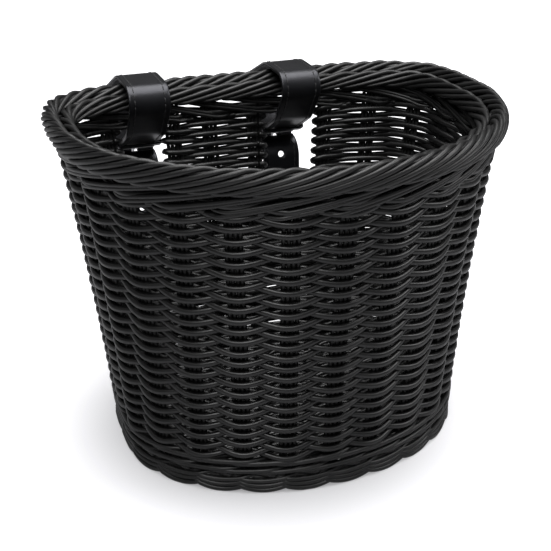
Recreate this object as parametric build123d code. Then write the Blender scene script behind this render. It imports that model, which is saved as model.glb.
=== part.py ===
from build123d import *
import os
from math import cos, dist, pi, sin, sqrt

# A woven handlebar basket: a D-shaped tub with a flat back wall, a rolled rim, a braided foot and
# a woven floor, hung from a handlebar by two buckled leather straps. Millimetres, +Z up, -Y is the
# round front and +Y the flat back. The origin is under the middle of the whole object, on the floor.

# Tub: the middle line of the wall at the rim and at the foot
RIM_HALF_WIDTH = 116.7
RIM_FRONT = 111.7
RIM_BACK = 66.8
RIM_BACK_POWER = 4.5
FOOT_HALF_WIDTH = 94.4
FOOT_FRONT = 68.8
FOOT_BACK = 78.5
FOOT_BACK_POWER = 3.76
FOOT_SHIFT = -20.6
RIM_HEIGHT = 182.4
RIM_TILT = 0.025
FRONT_POWER = 2.0
WALL = 6.0

# Bands of the tub, from the foot up
FOOT_RADIUS = 5.6
FOOT_LAND = 5.0
FOOT_WALE_BOTTOM = 11.0
WEAVE_BOTTOM = 20.0
SLOT_BOTTOM = 108.0
WEAVE_TOP = 163.0
RIM_WALE_TOP = 173.6
WALE_WALL = 7.2
FOOT_WALE_WALL = 7.6
SEAM = 0.05

# Rim rolls: half width and half height of each, side by side across the wall
OUTER_ROLL = (4.65, 8.3)
INNER_ROLL = (3.75, 7.4)
ROLL_PARTING = -0.9

# Stakes: bundles of four rods
ROD_RADIUS = 1.18
ROD_PITCH = 2.42
RODS_PER_STAKE = 4
CHANNEL_WIDTH = 10.2
CHANNEL_DEPTH = 2.6
CHANNEL_OVERRUN = 2.0
STAKE_END_GAP = 0.3
STAKE_HEADING_STEP = 0.004
RIGHT_SLOT_STAKE = 0.4204
LEFT_SLOT_STAKE = -0.376
ROUND_STAKES = 20
ROUND_SWAY = 0.0065
MIDDLE_STAKES = (-0.4352, -0.469, -0.5115)

# Panels of the side weave and the strap slots in the back wall
FRONT_PANEL_Y = -40.0
BACK_PANEL_Y = 45.0
SLOT_WIDTH = 26.0
SLOT_CENTRES = {"left": -61.5, "right": 30.0}

# Floor of the tub
FLOOR_BOTTOM = 5.0
FLOOR_THICK = 5.0
FLOOR_GAP = 0.2
FLOOR_STICK_RADIUS = 1.5
FLOOR_STICKS = 9
FLOOR_STICK_PITCH = 17.0
FLOOR_STICK_INSET = 2.0
FLOOR_STICK_SHORT = 1.0
FLOOR_STICK_PLAY = 0.1
FLOOR_OUTLINE_STEP = 6

# Straps: two plies of leather, looped over the rim, through the slot and round the handlebar
STRAP_WIDTH = 24.0
PLY = 1.3
BAR_RADIUS = 16.0
BAR_Y = RIM_FRONT + 2 * OUTER_ROLL[0] + ROLL_PARTING - BAR_RADIUS - 2 * PLY
BAR_Z = 160.0
STRAP_TOP = 191.55
SLOT_BEND = (57.2, 160.2)
ARCH_FRONT_Y = 33.2
SLOT_BEND_RADIUS = 14.0
ARCH_RADIUS = 9.6
REAR_TOP_BEND = (76.0, 25.0)
LEAVE_ANGLE = -75.0

# Buckle, prong, keeper and tail, laid out from where the strap leaves the handlebar
WIRE_RADIUS = 1.5
HEEL_BACK = 15.0
HEEL_IN = 4.6
TOE_OUT = 3.2
BUCKLE_INNER_WIDTH = 25.6
BUCKLE_CORNER = 2.0
WRAP_CLEARANCE = 0.1
FOLD_LENGTH = 8.5
LINING_SETBACK = 5.0
STRAP_END = 15.2
PRONG_RADIUS = 0.9
PRONG_WIDTH = 3.0
PRONG_NOTCH = 4.2
PRONG_NOTCH_REACH = (9.0, 7.4)
PRONG_EYE = (1.56, 3.0)
PRONG_BENDS = [(-13.2, -1.8), (-10.2, 4.0), (2.2, 7.1)]
PRONG_BEND_RADII = [2.0, 3.0]
PRONG_HOLE = (6.2, 3.8)
PRONG_HOLE_BACK = 11.9
KEEPER_FROM_HEEL = 13.6
KEEPER_LENGTH = 6.0
KEEPER_THICK = 1.2
KEEPER_PLAY = 0.4
TAIL_HINGE_BACK = 17.1
TAIL_DROP_Y = 78.5
TAIL_SLOPE = 0.268
TAIL_TIP = (76.5, 96.0)
TAIL_BEND_RADIUS = 11.0
TAIL_HOLE_RADIUS = 2.0
TAIL_HOLES = (130.6, 118.6, 106.6)

RING_STEPS = 720
WIRE_POINTS = 48


def plan(level, offset):
    """Middle line of the wall at a level, moved outwards by offset: closely spaced (x, y) points."""
    share = level / RIM_HEIGHT
    width = FOOT_HALF_WIDTH + (RIM_HALF_WIDTH - FOOT_HALF_WIDTH) * share + offset
    front = FOOT_FRONT + (RIM_FRONT - FOOT_FRONT) * share + offset
    back = FOOT_BACK + (RIM_BACK - FOOT_BACK) * share + offset
    back_power = FOOT_BACK_POWER + (RIM_BACK_POWER - FOOT_BACK_POWER) * share
    shift = FOOT_SHIFT * (1 - share)
    points = []
    for step in range(RING_STEPS):
        turn = 2 * pi * step / RING_STEPS - pi / 2
        power = FRONT_POWER if sin(turn) < 0 else back_power
        depth = front if sin(turn) < 0 else back
        reach = (abs(cos(turn)) ** power + abs(sin(turn)) ** power) ** (-1 / power)
        points.append((width * cos(turn) * reach, depth * sin(turn) * reach + shift))
    return points


def tilted(x, y, level):
    """A plan point lifted to its level, which dips towards the back in step with its height."""
    return Vector(x, y, level - RIM_TILT * y * level / RIM_HEIGHT)


def along(level, offset, shares):
    """Points of the wall at a level, at shares of the way round from the middle of the front."""
    ring = plan(level, offset)
    ring.append(ring[0])
    travelled = [0.0]
    for start, end in zip(ring, ring[1:]):
        travelled.append(travelled[-1] + dist(start, end))
    found = []
    for share in shares:
        target = (share % 1.0) * travelled[-1]
        index = next(i for i in range(RING_STEPS) if travelled[i + 1] >= target)
        part = (target - travelled[index]) / (travelled[index + 1] - travelled[index])
        x, y = (a + (b - a) * part for a, b in zip(ring[index], ring[index + 1]))
        found.append(tilted(x, y, level))
    return found


def ring_wire(level, offset):
    """Closed smooth wire round the tub at a level."""
    shares = [step / WIRE_POINTS for step in range(WIRE_POINTS)]
    return Wire([Spline(*along(level, offset, shares), periodic=True)])


def drum(bottom, top, offset):
    """Solid of the tub's outline between two levels."""
    return Solid.make_loft([ring_wire(bottom, offset), ring_wire(top, offset)], ruled=True)


def band(bottom, top, thickness):
    """Ring of wall between two levels."""
    return drum(bottom, top, thickness / 2) - drum(bottom, top, -thickness / 2)


def block(x_low, x_high, y_low, y_high, z_low, z_high):
    """Box between two corners."""
    size = (x_high - x_low, y_high - y_low, z_high - z_low)
    return Pos(x_low, y_low, z_low) * Box(*size, align=(Align.MIN, Align.MIN, Align.MIN))


def stake_places():
    """Shares of the way round at which the stakes stand."""
    run = (LEFT_SLOT_STAKE - RIGHT_SLOT_STAKE) / (ROUND_STAKES - 1)
    places = list(MIDDLE_STAKES)
    for index in range(ROUND_STAKES):
        sway = ROUND_SWAY * sin(pi * index / (ROUND_STAKES - 1))
        places.append(RIGHT_SLOT_STAKE + run * index - sway)
    return places


def stake_plane(place, bottom, top):
    """Plane at the foot of a stake, with Z up the stake and X along the wall, and its length."""
    low = along(bottom, 0, [place])[0]
    high = along(top, 0, [place])[0]
    before, after = along((bottom + top) / 2, 0, [place - STAKE_HEADING_STEP,
                                                          place + STAKE_HEADING_STEP])
    return Plane(origin=low, x_dir=after - before, z_dir=high - low), (high - low).length


def stake_rods(place):
    """The four rods of one stake."""
    plane, length = stake_plane(place, FOOT_WALE_BOTTOM + STAKE_END_GAP, RIM_WALE_TOP - STAKE_END_GAP)
    rods = []
    for index in range(RODS_PER_STAKE):
        aside = (index - (RODS_PER_STAKE - 1) / 2) * ROD_PITCH
        rods += (plane * Pos(aside, 0, length / 2) * Cylinder(ROD_RADIUS, length)).solids()
    return rods


def stake_channel(place):
    """Flat channel that a stake runs in, through every band of the wall."""
    plane, length = stake_plane(place, FOOT_WALE_BOTTOM - CHANNEL_OVERRUN, RIM_WALE_TOP + CHANNEL_OVERRUN)
    return plane * Pos(0, 0, length / 2) * Box(CHANNEL_WIDTH, CHANNEL_DEPTH, length)


def rim_roll(half_width, half_height, aside):
    """One roll of the rim border, swept round at its distance from the wall's middle line."""
    path = ring_wire(RIM_HEIGHT, aside)
    start = path @ 0
    outward = Vector(start.X, start.Y, 0).normalized()
    section = Plane(origin=start, x_dir=outward, z_dir=path % 0) * Ellipse(half_width, half_height)
    return sweep(section, path=path)


def foot_border():
    """Braided foot ring with a flat underside."""
    path = ring_wire(FOOT_LAND, 0)
    section = Plane(origin=path @ 0, z_dir=path % 0) * Circle(FOOT_RADIUS)
    reach = 2 * RIM_HALF_WIDTH
    return sweep(section, path=path) - block(-reach, reach, -reach, reach, -2 * FOOT_RADIUS, 0)


def floor_stick_lines():
    """Start and end of each floor stick, in the middle of the floor's thickness."""
    lines = []
    level = FLOOR_BOTTOM + FLOOR_THICK / 2
    ring = plan(level, -FOOT_RADIUS - FLOOR_STICK_INSET)
    for index in range(FLOOR_STICKS):
        x = (index - (FLOOR_STICKS - 1) / 2) * FLOOR_STICK_PITCH
        depths = sorted(y for px, y in ring if abs(px - x) < FLOOR_STICK_PITCH / 8)
        lines.append((x, depths[0] + FLOOR_STICK_SHORT, depths[-1] - FLOOR_STICK_SHORT, level))
    return lines


def floor_stick(x, y_low, y_high, z, radius):
    """Rod across the floor from front to back."""
    middle = Pos(x, (y_low + y_high) / 2, z)
    return middle * Rot(90, 0, 0) * Cylinder(radius, y_high - y_low)


def floor_mat():
    """Woven floor, set just inside the foot ring, bored for its sticks."""
    wires = []
    for level in (FLOOR_BOTTOM, FLOOR_BOTTOM + FLOOR_THICK):
        outline = plan(level, -FOOT_RADIUS - FLOOR_GAP)[::FLOOR_OUTLINE_STEP]
        wires.append(Wire.make_polygon([Vector(x, y, level) for x, y in outline]))
    mat = Solid.make_loft(wires, ruled=True)
    for x, y_low, y_high, z in floor_stick_lines():
        play = FLOOR_STICK_PLAY
        mat = mat - floor_stick(x, y_low - 2 * play, y_high + 2 * play, z, FLOOR_STICK_RADIUS + play)
    return mat


def beside(point, along_by, out_by):
    """A side-view point moved along the buckle's line and out from the handlebar."""
    turn = LEAVE_ANGLE * pi / 180
    y = point[0] - sin(turn) * along_by + cos(turn) * out_by
    z = point[1] + cos(turn) * along_by + sin(turn) * out_by
    return (y, z)


def ahead(start, end, distance, aside=0.0):
    """Point at a distance from start towards end, moved to the right of that heading."""
    length = dist(start, end)
    y_dir, z_dir = (end[0] - start[0]) / length, (end[1] - start[1]) / length
    return (start[0] + y_dir * distance + z_dir * aside, start[1] + z_dir * distance - y_dir * aside)


BAR = (BAR_Y, BAR_Z)
STRAP_LEAVE = beside(BAR, 0, BAR_RADIUS + PLY)
HEEL = beside(STRAP_LEAVE, -HEEL_BACK, -HEEL_IN)
TOE = beside(STRAP_LEAVE, 0, TOE_OUT + PLY / 2)
TAIL_HINGE = beside(STRAP_LEAVE, -TAIL_HINGE_BACK, 0)
WRAP = WIRE_RADIUS + WRAP_CLEARANCE + PLY / 2


def rear_corner():
    """Where the strap's straight run off the rim would meet its straight run into the buckle."""
    radius = BAR_RADIUS + 1.5 * PLY
    top = (REAR_TOP_BEND[0], STRAP_TOP)
    reach = dist(top, BAR)
    y_dir, z_dir = (BAR[0] - top[0]) / reach, (BAR[1] - top[1]) / reach
    lean, straight = radius / reach, sqrt(1 - (radius / reach) ** 2)
    heading = (y_dir * straight - z_dir * lean, z_dir * straight + y_dir * lean)
    entry = beside(BAR, 0, radius)
    unit = beside((0, 0), 1, 0)
    cross = heading[0] * unit[1] - heading[1] * unit[0]
    gap = (entry[0] - top[0], entry[1] - top[1])
    travel = (gap[0] * unit[1] - gap[1] * unit[0]) / cross
    return (top[0] + heading[0] * travel, top[1] + heading[1] * travel)


def side_line(points, radii):
    """Side-view route in the plane x = 0, rounded at its inner points."""
    return FilletPolyline(*[(0, y, z) for y, z in points], radius=radii)


def ply(route, aside, width=STRAP_WIDTH, thickness=PLY):
    """Leather of the given width along a route, moved to the right of its heading."""
    section = Plane(origin=route @ 0, x_dir=(1, 0, 0), z_dir=route % 0)
    return sweep(section * Pos(0, aside, 0) * Rectangle(width, thickness), path=route)


def strap_points():
    """Side-view corners of the outer ply, from the slot's side of the buckle to the buckle's mouth."""
    return [SLOT_BEND, (ARCH_FRONT_Y, STRAP_TOP), (REAR_TOP_BEND[0], STRAP_TOP), rear_corner(),
            beside(STRAP_LEAVE, -STRAP_END, PLY / 2)]


STRAP_RADII = [SLOT_BEND_RADIUS, ARCH_RADIUS, REAR_TOP_BEND[1], BAR_RADIUS + 1.5 * PLY]


def across_x(radius, y, z, width):
    """Rod or bore lying along X."""
    return Pos(0, y, z) * Rot(0, 90, 0) * Cylinder(radius, width)


def prong_hole():
    """Long hole in the strap that the prong stands in."""
    y, z = beside(STRAP_LEAVE, -PRONG_HOLE_BACK, 0)
    plane = Plane(origin=(0, y, z), x_dir=(1, 0, 0), z_dir=(0, *beside((0, 0), 0, 1)))
    return extrude(plane * SlotOverall(*PRONG_HOLE, rotation=90), amount=2 * PLY, both=True)


def strap_outer():
    """Outer ply: folded round the buckle's heel bar, out through the slot and over the rim."""
    start = ahead(HEEL, SLOT_BEND, 0, -WRAP)
    leather = ply(side_line([start] + strap_points(), STRAP_RADII), 0)
    heading = (0, SLOT_BEND[0] - HEEL[0], SLOT_BEND[1] - HEEL[1])
    heel = Plane(origin=(0, *HEEL), x_dir=(1, 0, 0), z_dir=heading)
    eye = across_x(WRAP + PLY / 2, *HEEL, STRAP_WIDTH) - across_x(WRAP - PLY / 2, *HEEL, STRAP_WIDTH)
    fold = heel * Pos(0, WRAP, FOLD_LENGTH / 2) * Box(STRAP_WIDTH, PLY, FOLD_LENGTH)
    notch = heel * Box(PRONG_NOTCH, *PRONG_NOTCH_REACH)
    return leather + eye + fold - notch - prong_hole()


def strap_lining():
    """Inner ply, which lies against the rim and the handlebar."""
    start = ahead(ahead(HEEL, SLOT_BEND, 0, -WRAP), SLOT_BEND, LINING_SETBACK)
    return ply(side_line([start] + strap_points(), STRAP_RADII), PLY) - prong_hole()


def buckle():
    """Rounded wire frame from the heel bar to the toe bar."""
    centre = ((HEEL[0] + TOE[0]) / 2, (HEEL[1] + TOE[1]) / 2)
    run = (0, TOE[0] - HEEL[0], TOE[1] - HEEL[1])
    plane = Plane(origin=(0, *centre), x_dir=(1, 0, 0), z_dir=Vector(1, 0, 0).cross(Vector(*run)))
    outline = RectangleRounded(BUCKLE_INNER_WIDTH + 2 * WIRE_RADIUS, dist(HEEL, TOE), BUCKLE_CORNER)
    path = (plane * outline).wire()
    return sweep(Plane(origin=path @ 0, z_dir=path % 0) * Circle(WIRE_RADIUS), path=path)


def prong():
    """Prong with an eye on the heel bar, up through the strap and across the toe bar."""
    corners = [HEEL, *(beside(STRAP_LEAVE, *bend) for bend in PRONG_BENDS)]
    route = side_line(corners, PRONG_BEND_RADII)
    arm = sweep(Plane(origin=route @ 0, z_dir=route % 0) * Circle(PRONG_RADIUS), path=route)
    eye = across_x(PRONG_EYE[1], *HEEL, PRONG_WIDTH)
    return arm + eye - across_x(PRONG_EYE[0], *HEEL, 4 * PRONG_WIDTH)


def keeper():
    """Leather loop round the strap between the wall and the buckle."""
    run = ahead(HEEL, SLOT_BEND, 0, -WRAP)
    centre = ahead(run, SLOT_BEND, KEEPER_FROM_HEEL, PLY / 2)
    heading = (0, SLOT_BEND[0] - run[0], SLOT_BEND[1] - run[1])
    plane = Plane(origin=(0, *centre), x_dir=(1, 0, 0), z_dir=heading)
    inner = (STRAP_WIDTH + 2 * KEEPER_PLAY, 2 * (PLY + KEEPER_PLAY))
    outer = (inner[0] + 2 * KEEPER_THICK, inner[1] + 2 * KEEPER_THICK)
    ring = RectangleRounded(*outer, KEEPER_THICK) - Rectangle(*inner)
    return extrude(plane * ring, amount=KEEPER_LENGTH / 2, both=True)


def strap_tail():
    """Free end of the strap, drooping behind the wall, with its row of holes and a rounded tip."""
    drop = (TAIL_DROP_Y, TAIL_HINGE[1] - (TAIL_HINGE[0] - TAIL_DROP_Y) * TAIL_SLOPE)
    route = side_line([TAIL_HINGE, drop, TAIL_TIP], [TAIL_BEND_RADIUS])
    tail = ply(route, 0, thickness=2 * PLY) + across_x(PLY, *TAIL_HINGE, STRAP_WIDTH)
    reach = STRAP_WIDTH / 2
    tip = block(-reach, reach, TAIL_TIP[0] - reach, TAIL_TIP[0] + reach, 0, TAIL_TIP[1] + reach)
    tail = tail - (tip - Pos(0, TAIL_TIP[0], TAIL_TIP[1] + reach) * Rot(90, 0, 0)
                   * Cylinder(reach, 3 * reach))
    for z in TAIL_HOLES:
        tail = tail - Pos(0, TAIL_DROP_Y, z) * Rot(90, 0, 0) * Cylinder(TAIL_HOLE_RADIUS, reach)
    return tail


def side_panels(channels):
    """Side weave, cut into the panels that the slots and corners part it into."""
    reach = 2 * RIM_HALF_WIDTH
    top = 2 * RIM_HEIGHT
    wall = band(WEAVE_BOTTOM, WEAVE_TOP, WALL) - channels
    back = wall & block(-reach, reach, BACK_PANEL_Y, reach, 0, top)
    edges = [SLOT_CENTRES[side] + half * SLOT_WIDTH / 2 for side in SLOT_CENTRES for half in (-1, 1)]
    beside_slots = [(-reach, edges[0]), (edges[1], edges[2]), (edges[3], reach)]
    panels = {
        "weave_front": wall & block(-reach, reach, -reach, FRONT_PANEL_Y, 0, top),
        "weave_left": wall & block(-reach, 0, FRONT_PANEL_Y, BACK_PANEL_Y, 0, top),
        "weave_right": wall & block(0, reach, FRONT_PANEL_Y, BACK_PANEL_Y, 0, top),
        "weave_back_lower": back & block(-reach, reach, 0, reach, 0, SLOT_BOTTOM),
    }
    for name, (low, high) in zip(("left", "middle", "right"), beside_slots):
        panels["weave_back_" + name] = back & block(low, high, 0, reach, SLOT_BOTTOM, top)
    return panels


def stake_nodes():
    """Stakes, sorted by the wall they stand in."""
    nodes = {"stakes_front": [], "stakes_left": [], "stakes_right": [], "stakes_back": []}
    for place in stake_places():
        middle = along((WEAVE_BOTTOM + WEAVE_TOP) / 2, 0, [place])[0]
        side = "stakes_left" if middle.X < 0 else "stakes_right"
        name = "stakes_front" if middle.Y < FRONT_PANEL_Y else side
        name = "stakes_back" if middle.Y > BACK_PANEL_Y else name
        nodes[name] += stake_rods(place)
    return {name: Compound(rods) for name, rods in nodes.items()}


def tub_nodes():
    """Every piece of the woven tub."""
    channels = Compound([channel for place in stake_places() for channel in stake_channel(place).solids()])
    outer_aside = ROLL_PARTING + OUTER_ROLL[0]
    inner_aside = ROLL_PARTING - INNER_ROLL[0] - SEAM
    floor_sticks = [floor_stick(*line, FLOOR_STICK_RADIUS).solid() for line in floor_stick_lines()]
    return side_panels(channels) | stake_nodes() | {
        "foot_border": foot_border(),
        "foot_wale": band(FOOT_WALE_BOTTOM, WEAVE_BOTTOM - SEAM, FOOT_WALE_WALL) - channels,
        "rim_wale": band(WEAVE_TOP + SEAM, RIM_WALE_TOP, WALE_WALL) - channels,
        "rim_border_outer": rim_roll(*OUTER_ROLL, outer_aside),
        "rim_border_inner": rim_roll(*INNER_ROLL, inner_aside),
        "floor_mat": floor_mat(),
        "floor_sticks": Compound(floor_sticks),
    }


def strap_nodes():
    """Every piece of both straps."""
    pieces = {"strap_outer": strap_outer(), "strap_lining": strap_lining(), "buckle": buckle(),
              "prong": prong(), "keeper": keeper(), "strap_tail": strap_tail()}
    return {f"{name}_{side}": Pos(centre, 0, 0) * shape
            for side, centre in SLOT_CENTRES.items() for name, shape in pieces.items()}


os.makedirs("parts", exist_ok=True)
for node, shape in (tub_nodes() | strap_nodes()).items():
    export_step(shape, os.path.join("parts", node + ".step"))
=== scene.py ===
import logging
import math
from dataclasses import dataclass, field
from enum import Enum
from typing import Any, Optional

import bpy
import numpy as np
from mathutils import Matrix, Vector
from mathutils.geometry import delaunay_2d_cdt

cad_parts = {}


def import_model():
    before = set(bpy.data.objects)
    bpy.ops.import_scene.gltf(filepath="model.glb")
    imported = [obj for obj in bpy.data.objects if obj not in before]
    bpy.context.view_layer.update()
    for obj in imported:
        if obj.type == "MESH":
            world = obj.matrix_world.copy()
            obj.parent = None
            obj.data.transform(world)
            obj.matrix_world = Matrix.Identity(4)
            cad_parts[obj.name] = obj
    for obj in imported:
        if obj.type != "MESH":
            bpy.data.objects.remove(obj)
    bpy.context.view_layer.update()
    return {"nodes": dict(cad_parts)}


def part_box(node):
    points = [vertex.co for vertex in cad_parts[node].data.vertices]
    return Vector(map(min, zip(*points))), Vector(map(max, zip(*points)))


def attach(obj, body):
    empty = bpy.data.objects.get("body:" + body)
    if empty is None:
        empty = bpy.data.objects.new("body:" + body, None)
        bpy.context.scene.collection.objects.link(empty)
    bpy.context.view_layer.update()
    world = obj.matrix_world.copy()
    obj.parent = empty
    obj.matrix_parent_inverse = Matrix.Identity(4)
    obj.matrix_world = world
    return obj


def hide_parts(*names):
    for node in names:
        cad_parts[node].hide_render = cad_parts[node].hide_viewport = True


# A woven handlebar basket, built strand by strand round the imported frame: metres, +Z up, -Y the round
# front, +Y the flat back wall.

frame: dict[str, Any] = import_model()

logging.basicConfig(level=logging.INFO, format="%(message)s")
log = logging.getLogger("basket")

MM = 0.001
STRAND_END = ((0.6, 0.35), (0.45, 0.85))
STRAND_SIDES = 8

Node = bpy.types.Node
Material = bpy.types.Material
Random = np.random.Generator
Pair = tuple[float, float]
Triple = tuple[float, float, float]


class Slot(Enum):
    """Material slots of the record, one to each kind of finish."""

    WEAVE = "rattan"
    STAKE = "rattan_stake"
    BORDER = "rattan_border"
    LEATHER = "leather"
    LINING = "leather_lining"


class Side(Enum):
    """The two straps, named for the side of the basket that they are on."""

    LEFT = "left"
    RIGHT = "right"


def unit(vectors: np.ndarray) -> np.ndarray:
    """Vectors scaled to a length of one."""
    return vectors / np.linalg.norm(vectors, axis=-1, keepdims=True)


def travelled(points: np.ndarray) -> np.ndarray:
    """Distance travelled along a path at each of its points."""
    return np.concatenate([[0.0], np.cumsum(np.linalg.norm(np.diff(points, axis=0), axis=1))])


def resampled(points: np.ndarray, at: np.ndarray) -> np.ndarray:
    """Points of a flat path at given distances along it."""
    return np.stack([np.interp(at, travelled(points), points[:, axis]) for axis in (0, 1)], axis=1)


def rise_to(values: np.ndarray, start: float, end: float) -> np.ndarray:
    """Rise from 0 to 1 as the values go from a start to an end."""
    return np.clip((values - start) / (end - start), 0, 1)


def over_and_under(sharpness: float, phase: np.ndarray) -> np.ndarray:
    """Sway of a strand in plain weave, 1 at even and -1 at odd phases."""
    return np.tanh(sharpness * np.cos(math.pi * phase)) / math.tanh(sharpness)


def placed(name: str, data: Any) -> bpy.types.Object:
    """New object with its data, linked to the scene."""
    item = bpy.data.objects.new(name, data)
    bpy.context.scene.collection.objects.link(item)
    return item


class Shader:
    """Node tree of one material, built round a Principled surface."""

    def __init__(self, name: str, **values: Any) -> None:
        """Start a material.

        Args:
            name: name of the material.
            values: constants of the surface's sockets, with underscores for spaces.
        """
        self.material = bpy.data.materials.new(name)
        self.material.use_nodes = True
        self.tree = self.material.node_tree
        self.tree.nodes.clear()
        self.surface = self.add("BsdfPrincipled")
        self.set(self.surface, **values)
        self.join(self.surface, "BSDF", self.add("OutputMaterial"), "Surface")

    def add(self, kind: str, **settings: Any) -> Node:
        """Add a shader node and set its properties."""
        node = self.tree.nodes.new("ShaderNode" + kind)
        for key, value in settings.items():
            setattr(node, key, value)
        return node

    def set(self, node: Node, **values: Any) -> Node:
        """Set a node's sockets, with underscores for the spaces of their names."""
        for key, value in values.items():
            node.inputs[key.replace("_", " ")].default_value = value
        return node

    def join(self, source: Node, out: Any, target: Node, into: Any) -> None:
        """Link an output to an input."""
        self.tree.links.new(source.outputs[out], target.inputs[into])

    def noise(self, scale: float, detail: float, stretch: Triple = (1.0, 1.0, 1.0)) -> Node:
        """Noise over the object's own coordinates.

        Args:
            scale: scale of the noise, per metre.
            detail: octaves of the noise.
            stretch: scale of each axis before the noise.

        Returns:
            The noise node.
        """
        mapping = self.set(self.add("Mapping"), Scale=stretch)
        noise = self.set(self.add("TexNoise"), Scale=scale, Detail=detail)
        self.join(self.add("TexCoord"), "Object", mapping, "Vector")
        self.join(mapping, "Vector", noise, "Vector")
        return noise

    def ramp(self, source: Node, low: tuple[float, Triple], high: tuple[float, Triple]) -> Node:
        """Colour ramp over a node's factor.

        Args:
            source: node that drives the ramp.
            low: position and colour of its dark end.
            high: position and colour of its light end.

        Returns:
            The ramp node.
        """
        ramp = self.add("ValToRGB")
        for element, (position, colour) in zip(ramp.color_ramp.elements, (low, high)):
            element.position = position
            element.color = (*colour, 1.0)
        self.join(source, "Fac", ramp, "Fac")
        return ramp

    def paint(self, source: Node, out: Any = "Color") -> None:
        """Drive the base colour by an output."""
        self.join(source, out, self.surface, "Base Color")

    def rough(self, source: Node, span: Pair) -> None:
        """Drive the roughness by a node's factor, over a span."""
        node = self.set(self.add("MapRange"), To_Min=span[0], To_Max=span[1])
        self.join(source, "Fac", node, "Value")
        self.join(node, "Result", self.surface, "Roughness")

    def bump(self, *layers: tuple[Node, str, float, float]) -> None:
        """Chain bumps into the surface's normal.

        Args:
            layers: node, output, strength and depth of each bump, the coarsest first.
        """
        previous: Optional[Node] = None
        for source, out, strength, depth in layers:
            node = self.set(self.add("Bump"), Strength=strength, Distance=depth)
            self.join(source, out, node, "Height")
            if previous is not None:
                self.join(previous, "Normal", node, "Normal")
            previous = node
        self.join(previous, "Normal", self.surface, "Normal")


@dataclass(frozen=True)
class RattanFinish:
    """Extruded plastic rattan: satin, with faint streaks, and a shade of its own for each strand."""

    name: str
    dark: Triple = (0.0045, 0.0045, 0.0047)
    light: Triple = (0.0105, 0.0104, 0.0104)
    roughness: Pair = (0.28, 0.4)
    dust: tuple[Triple, Triple] = ((0.78, 0.78, 0.8), (1.25, 1.24, 1.22))

    def material(self) -> Material:
        """Build the finish."""
        shader = Shader(self.name)
        tone = shader.add("Attribute", attribute_name="tone")
        cloud = shader.noise(90.0, 3.0)
        grain = shader.noise(1800.0, 2.0, (1.0, 1.0, 0.35))
        mottled = shader.add("Mix", data_type="RGBA", blend_type="MULTIPLY")
        mottled.inputs[0].default_value = 1.0
        shader.join(shader.ramp(tone, (0.0, self.dark), (1.0, self.light)), "Color", mottled, 6)
        shader.join(shader.ramp(cloud, (0.35, self.dust[0]), (0.7, self.dust[1])), "Color", mottled, 7)
        shader.paint(mottled, 2)
        shader.rough(grain, self.roughness)
        shader.bump((cloud, "Fac", 0.25, 0.4 * MM), (grain, "Fac", 0.22, 0.12 * MM))
        return shader.material


@dataclass(frozen=True)
class LeatherFinish:
    """Coated leather: fine pebble grain over soft creases, its tone mottled at random."""

    name: str
    dark: Triple = (0.0045, 0.0047, 0.0053)
    light: Triple = (0.0095, 0.0098, 0.011)
    roughness: Pair = (0.27, 0.4)
    # Blue tint on the leather's reflections: a painted cool cast on its highlights.
    cool_reflection_tint: Triple = (0.87, 0.87, 0.95)

    def material(self) -> Material:
        """Build the finish."""
        shader = Shader(self.name, Specular_Tint=(*self.cool_reflection_tint, 1.0))
        crease = shader.noise(260.0, 6.0, (1.0, 0.6, 0.6))
        pebble = shader.set(shader.add("TexVoronoi", feature="DISTANCE_TO_EDGE"), Scale=1500.0)
        shader.join(shader.add("TexCoord"), "Object", pebble, "Vector")
        shader.paint(shader.ramp(shader.noise(55.0, 4.0), (0.3, self.dark), (0.75, self.light)))
        shader.rough(crease, self.roughness)
        shader.bump((crease, "Fac", 0.3, 0.3 * MM), (pebble, "Distance", 0.35, 0.12 * MM))
        return shader.material


@dataclass(frozen=True)
class ThreadFinish:
    """Twisted waxed thread."""

    name: str
    dark: Triple = (0.0096, 0.0096, 0.0102)
    light: Triple = (0.0256, 0.0256, 0.0272)

    def material(self) -> Material:
        """Build the finish."""
        shader = Shader(self.name, Roughness=0.62)
        twist = shader.noise(2600.0, 1.0)
        shader.paint(shader.ramp(twist, (0.3, self.dark), (0.7, self.light)))
        shader.bump((twist, "Fac", 0.6, 0.2 * MM))
        return shader.material


@dataclass(frozen=True)
class NickelFinish:
    """Nickel-plated wire: finely brushed, a little dull in patches."""

    name: str
    dark: Triple = (0.42, 0.42, 0.43)
    light: Triple = (0.62, 0.62, 0.63)

    def material(self) -> Material:
        """Build the finish."""
        shader = Shader(self.name, Metallic=1.0)
        brush = shader.noise(900.0, 4.0, (0.2, 3.0, 3.0))
        shader.paint(shader.ramp(shader.noise(140.0, 3.0), (0.3, self.dark), (0.7, self.light)))
        shader.rough(brush, (0.22, 0.42))
        shader.bump((brush, "Fac", 0.2, 0.1 * MM))
        return shader.material


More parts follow.
